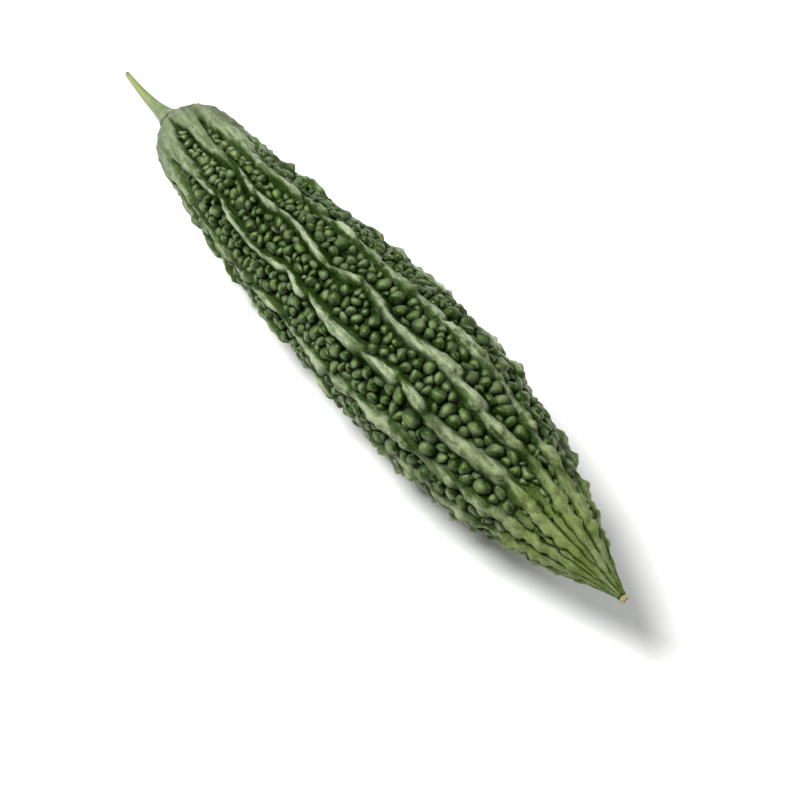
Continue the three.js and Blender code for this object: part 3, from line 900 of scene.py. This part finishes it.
def wart_growth(material):
    """Stands a pebble on the skin at every spot, then makes each one a little different."""
    tree, given = growth_tree("wart growth", {
        "Skin": ("Object", None),
        "Pebble": ("Object", None),
        "Sink": ("Float", 0.15),
        "Lumps": ("Float", 0.6 * MM),
        "Seed": ("Float", 3.0),
    })
    under = add(tree, "GeometryNodeObjectInfo", {0: given["Skin"]}).outputs["Geometry"]
    nearest = add(tree, "GeometryNodeProximity", {0: under}).outputs["Position"]
    size, upright = (
        add(tree, "GeometryNodeInputNamedAttribute", {"Name": label},
            data_type="FLOAT_VECTOR").outputs["Attribute"]
        for label in ("size", "outwards")
    )
    height = add(tree, "ShaderNodeSeparateXYZ", {0: size}).outputs[2]
    lift = scaled(tree, upright, product(tree, height, given["Sink"]))
    seated = move_points(tree, given[0], Position=nearest, Offset=lift)
    turned = add(tree, "FunctionNodeAxesToRotation", {0: upright, 1: (1.0, 0.0, 0.0)},
                 primary_axis="Z", secondary_axis="X").outputs[0]
    spin = add(tree, "FunctionNodeAxisAngleToRotation", {
        0: (0.0, 0.0, 1.0), 1: read_mark(tree, "spin"),
    }).outputs[0]
    turned = add(tree, "FunctionNodeRotateRotation", {0: turned, 1: spin},
                 rotation_space="LOCAL").outputs[0]
    pebble = add(tree, "GeometryNodeObjectInfo", {0: given["Pebble"]}).outputs["Geometry"]
    stood = add(tree, "GeometryNodeInstanceOnPoints", {
        "Points": seated, "Instance": pebble, "Rotation": turned, "Scale": size,
    }).outputs[0]
    real = add(tree, "GeometryNodeRealizeInstances", {0: stood}).outputs[0]
    here = add(tree, "GeometryNodeInputPosition").outputs[0]
    lumps = add(tree, "ShaderNodeTexNoise", {
        "Vector": here, "Scale": 290.0, "Detail": 0.0, "W": given["Seed"],
    }, noise_dimensions="4D").outputs["Color"]
    middle = add(tree, "ShaderNodeVectorMath", {0: lumps, 1: (0.5, 0.5, 0.5)}, operation="SUBTRACT")
    shift = scaled(tree, middle.outputs[0], product(tree, given["Lumps"], NOISE_GAIN))
    lumpy = move_points(tree, real, Offset=shift)
    end_growth(tree, press_to_floor(tree, lumpy), material)
    return tree


PALE_SHOULDER = ((0.05, 0.9), (0.32, 0.0))
YELLOW_TIP = ((0.72, 0.0), (0.9, 1.0))


def wart_material():
    material, tree = new_material("wart skin")
    wax = add(tree, "ShaderNodeGroup", {"Patch scale": 260.0, "Stretch": 1.0},
              node_tree=waxy_skin).outputs
    tip = mark_colour(tree, "tip")
    run = mark_colour(tree, "run")
    tint = mark_colour(tree, "tint")
    # The wart colours, in the plain, pale and yellow greens alike, go from near black at the foot
    # to a pale top. The dark foot is painted shade where the warts press together, and the pale top
    # is partly a painted highlight.
    colour = colour_steps(tree, tip, [
        (0.0, paint(3, 16, 0)), (0.42, paint(5, 24, 0)), (0.7, paint(16, 41, 0)),
        (1.0, paint(95, 113, 64)),
    ])
    pale = colour_steps(tree, tip, [
        (0.0, paint(5, 17, 0)), (0.35, paint(21, 42, 4)), (0.65, paint(71, 89, 46)),
        (1.0, paint(130, 144, 110)),
    ])
    yellow = colour_steps(tree, tip, [
        (0.0, paint(5, 18, 0)), (0.42, paint(10, 30, 0)), (0.7, paint(29, 51, 3)),
        (1.0, paint(116, 132, 84)),
    ])
    colour = coat_colour(tree, change(tree, run, *YELLOW_TIP), colour, yellow)
    shoulder = change(tree, run, *PALE_SHOULDER)
    beside = product(tree, mark_colour(tree, "beside_rib"), 0.45)
    colour = coat_colour(tree, calc(tree, "MAXIMUM", shoulder, beside), colour, pale)
    own = product(tree, tint, 0.55)
    colour = coat_colour(tree, own, colour, paint(11, 33, 0))
    # Wax bloom on the wart tops, together with a painted highlight: a pale grey-green laid over
    # each top.
    bloom_and_highlight = product(tree, wax["Bloom"], tip, 0.25)
    colour = coat_colour(tree, bloom_and_highlight, colour, paint(160, 176, 140))
    roughness = pick(tree, wax["Bloom"], 0.29, 0.46)
    end_material(tree, colour, roughness, wax["Height"], 0.4 * MM,
                 **{"Specular IOR Level": WET_GLOSS})
    return material


wart_luck = np.random.default_rng(WART_SEED)
all_warts = pack_warts(skin, wart_luck)
wart_tree = wart_growth(wart_material())
is_large = all_warts[:, 6] > LARGE_FROM
for kind, chosen in {"large": all_warts[is_large], "small": all_warts[~is_large]}.items():
    pebble = bpy.data.objects.new("pebble", pebble_mesh("pebble", **PEBBLES[kind]))
    warts = grow(
        kind + "_warts", wart_spots(kind + "_warts", chosen, wart_luck), wart_tree,
        {"Skin": skin, "Pebble": pebble},
    )
    bpy.data.objects.remove(pebble)
    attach(warts, "root")
    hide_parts("fruit")

# Stem
# A slender, slightly curved green stalk with soft lengthwise ridges. It thickens into a cone
# whose foot flows into the fruit's shoulder, and its free end is a small dry cut.
STEM_LENGTH = 31
STEM_RADIUS = 1.6
STEM_SINK = 1.1
STEM_GAP = 0.3
STEM_BEND = {"down": 1.5, "side": -0.05, "lean": -0.7}
STEM_WIDTHS = [
    (1, 0.3), (0.985, 0.52), (0.95, 0.63), (0.87, 0.7), (0.75, 0.82), (0.62, 0.96), (0.5, 1.12),
    (0.38, 1.28), (0.27, 1.47), (0.18, 1.7), (0.11, 1.97), (0.06, 2.26), (0.025, 2.55), (0, 2.83),
]
STEM_ROWS = 110
STEM_SIDES = 60
STEM_ROW_CROWDING = 1.15
STEM_FOOT_TUCK = 0.97
STEM_RIDGES = [(5, 0.07, 0.4), (11, 0.022, 1.3)]
STEM_RIDGE_FADE = 0.2
STEM_RIDGE_TWIST = 0.5
STEM_GROOVES = (-0.01, 0.08)


def stem_material():
    material, tree = new_material("green stem")
    wax = add(tree, "ShaderNodeGroup", {"Patch scale": 420.0, "Wrinkle scale": 1500.0,
                                        "Stretch": 0.08}, node_tree=waxy_skin).outputs
    out = mark_colour(tree, "out")
    groove = mark_colour(tree, "groove")
    colour = colour_steps(tree, out, [
        (0.0, paint(92, 105, 76)), (0.25, paint(96, 109, 78)), (0.6, paint(112, 124, 76)),
        (0.9, paint(124, 134, 86)), (0.975, paint(104, 110, 68)), (1.0, paint(92, 90, 60)),
    ])
    lines = product(tree, groove, 0.4)
    colour = coat_colour(tree, lines, colour, paint(100, 116, 64))
    streaks = product(tree, wax["Bloom"], 0.3)
    colour = coat_colour(tree, streaks, colour, paint(190, 200, 156))
    roughness = pick(tree, wax["Bloom"], 0.45, 0.62)
    end_material(tree, colour, roughness, wax["Height"], 0.12 * MM)
    return material


def build_stem():
    shares, widths = np.array(STEM_WIDTHS)[::-1].T
    out = np.linspace(1, 0, STEM_ROWS) ** STEM_ROW_CROWDING
    width = np.interp(out, shares, widths) * STEM_RADIUS
    width = np.concatenate([width, [width[-1] * STEM_FOOT_TUCK]])
    out = np.concatenate([out, [0]])
    x = -STEM_GAP - out * STEM_LENGTH
    x[-2:] = (0, STEM_SINK)
    turn = np.arange(STEM_SIDES) * 2 * np.pi / STEM_SIDES
    ridges = sum(
        height * np.cos(count * turn[None] + phase + STEM_RIDGE_TWIST * out[:, None])
        for count, height, phase in STEM_RIDGES
    )
    ridges = ridges * smoothstep(out[:, None], 0, STEM_RIDGE_FADE)
    radius = width[:, None] * (1 + ridges)
    side = STEM_BEND["side"] * np.sin(np.pi * out)[:, None] + STEM_BEND["lean"] * out[:, None]
    lift = neck_lift - STEM_BEND["down"] * np.sin(np.pi * out)[:, None]
    rings = place(x[:, None], side + radius * np.cos(turn), lift + radius * np.sin(turn))
    poles = rings[[0, -1]].mean(axis=1)
    groove = smoothstep(-ridges, *STEM_GROOVES)
    marks = {"out": (out[:, None], 1, 0), "groove": (groove, 0, 0)}
    return smooth_piece("green_stem", tube_mesh("stem", rings, poles, marks), stem_material())


def smooth_piece(name, mesh, material):
    mesh.shade_smooth()
    mesh.materials.append(material)
    piece = bpy.data.objects.new(name, mesh)
    scene.collection.objects.link(piece)
    return piece


stem = build_stem()
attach(stem, "root")
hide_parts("stem")

# Dried blossom end
# The scar that the flower left: a small ragged cup of dry, tan tissue on the fruit's tip.
SCAR_START = LENGTH - 0.2
SCAR_RADIUS = 1.4
SCAR_HEIGHT = 1.3
SCAR_LOWEST = 0.86
SCAR_FOOT = 0.3
SCAR_GAP = 0.5
SCAR_RINGS = [
    (0, 0.6), (0, 0.7), (0.08, 0.8), (0.2, 0.9), (0.35, 0.96), (0.5, 0.98), (0.66, 0.93),
    (0.8, 0.85), (0.92, 0.74), (0.98, 0.62), (1, 0.54), (0.94, 0.44), (0.84, 0.34), (0.7, 0.26),
    (0.62, 0.16), (0.6, 0.08),
]
SCAR_SIDES = 64
SCAR_LUMPS = [(7, 0.13, 0.6), (17, 0.04, 2.1)]
SCAR_RAGGED = [(3, 0.1, 0.0), (11, 0.07, 1.2)]


def scar_material():
    material, tree = new_material("dried blossom")
    spot = add(tree, "ShaderNodeTexCoord").outputs["Object"]
    grain = noise(tree, spot, 900.0, 5.0, Roughness=0.7)
    rise = mark_colour(tree, "rise")
    colour = colour_steps(tree, rise, [
        (0.0, paint(96, 104, 44)), (0.25, paint(150, 138, 92)), (0.6, paint(206, 192, 160)),
        (1.0, paint(126, 90, 50)),
    ])
    spots = remap(tree, grain, 0.42, 0.66, 0.0, 0.75)
    colour = coat_colour(tree, spots, colour, paint(128, 94, 54))
    roughness = remap(tree, grain, 0.3, 0.7, 0.65, 0.85, "LINEAR")
    end_material(tree, colour, roughness, grain, 0.3 * MM)
    return material


def build_scar():
    rise, width = np.array(SCAR_RINGS).T
    turn = np.arange(SCAR_SIDES) * 2 * np.pi / SCAR_SIDES
    lumps = sum(high * np.cos(count * turn + phase) for count, high, phase in SCAR_LUMPS)
    ragged = sum(high * np.cos(count * turn + phase) for count, high, phase in SCAR_RAGGED)
    radius = SCAR_RADIUS * width[:, None] * (1 + lumps * rise[:, None])
    out = SCAR_GAP + SCAR_HEIGHT * rise[:, None] * (SCAR_LOWEST + ragged)
    out[:2] = ((0,), (SCAR_FOOT,))
    side, lift = centre_line(LENGTH)
    x = SCAR_START + out
    rings = place(x, side + radius * np.cos(turn), lift + radius * np.sin(turn))
    poles = rings[[0, -1]].mean(axis=1)
    depth = np.arange(len(rise)) / (len(rise) - 1)
    marks = {"rise": (depth[:, None], 0, 1)}
    return smooth_piece("dried_blossom", tube_mesh("scar", rings, poles, marks), scar_material())


scar = build_scar()
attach(scar, "root")
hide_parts("blossom_scar")

# Floor and light
# A plain near-white floor under a soft studio light from above and from the left.
FLOOR_SIZE = 6.0
KEY_LIGHT = {"place": (-0.44, -0.38, 0.93), "size": 0.58, "power": 18.5}
FILL_LIGHT = {"place": (0.8, 0.5, 0.7), "size": 1.0, "power": 5.0}
SKY = {"colour": (0.97, 0.98, 1.0, 1.0), "strength": 0.26}


def floor_material():
    material, tree = new_material("pale floor")
    spot = add(tree, "ShaderNodeTexCoord").outputs["Object"]
    grain = noise(tree, spot, 400.0, 2.0)
    colour = coat_colour(tree, grain, (0.9, 0.9, 0.89, 1), (0.94, 0.94, 0.93, 1))
    end_material(tree, colour, 0.8, grain, 0.02 * MM)
    return material


def area_light(name, place_at, size, power):
    light = bpy.data.lights.new(name, "AREA")
    light.shape = "DISK"
    light.size = size
    light.energy = power
    lamp = bpy.data.objects.new(name, light)
    lamp.location = Vector(place_at)
    lamp.rotation_euler = Vector(place_at).to_track_quat("Z", "Y").to_euler()
    scene.collection.objects.link(lamp)


half = FLOOR_SIZE / 2
floor_mesh = bpy.data.meshes.new("floor")
floor_mesh.from_pydata(
    [(-half, -half, 0), (half, -half, 0), (half, half, 0), (-half, half, 0)], [], [(0, 1, 2, 3)]
)
floor_mesh.materials.append(floor_material())
floor = bpy.data.objects.new("floor", floor_mesh)
scene.collection.objects.link(floor)
area_light("key light", KEY_LIGHT["place"], KEY_LIGHT["size"], KEY_LIGHT["power"])
area_light("fill light", FILL_LIGHT["place"], FILL_LIGHT["size"], FILL_LIGHT["power"])
world = bpy.data.worlds.new("studio")
world.use_nodes = True
background = world.node_tree.nodes["Background"]
background.inputs["Color"].default_value = SKY["colour"]
background.inputs["Strength"].default_value = SKY["strength"]
scene.world = world
scene.view_settings.view_transform = "Standard"
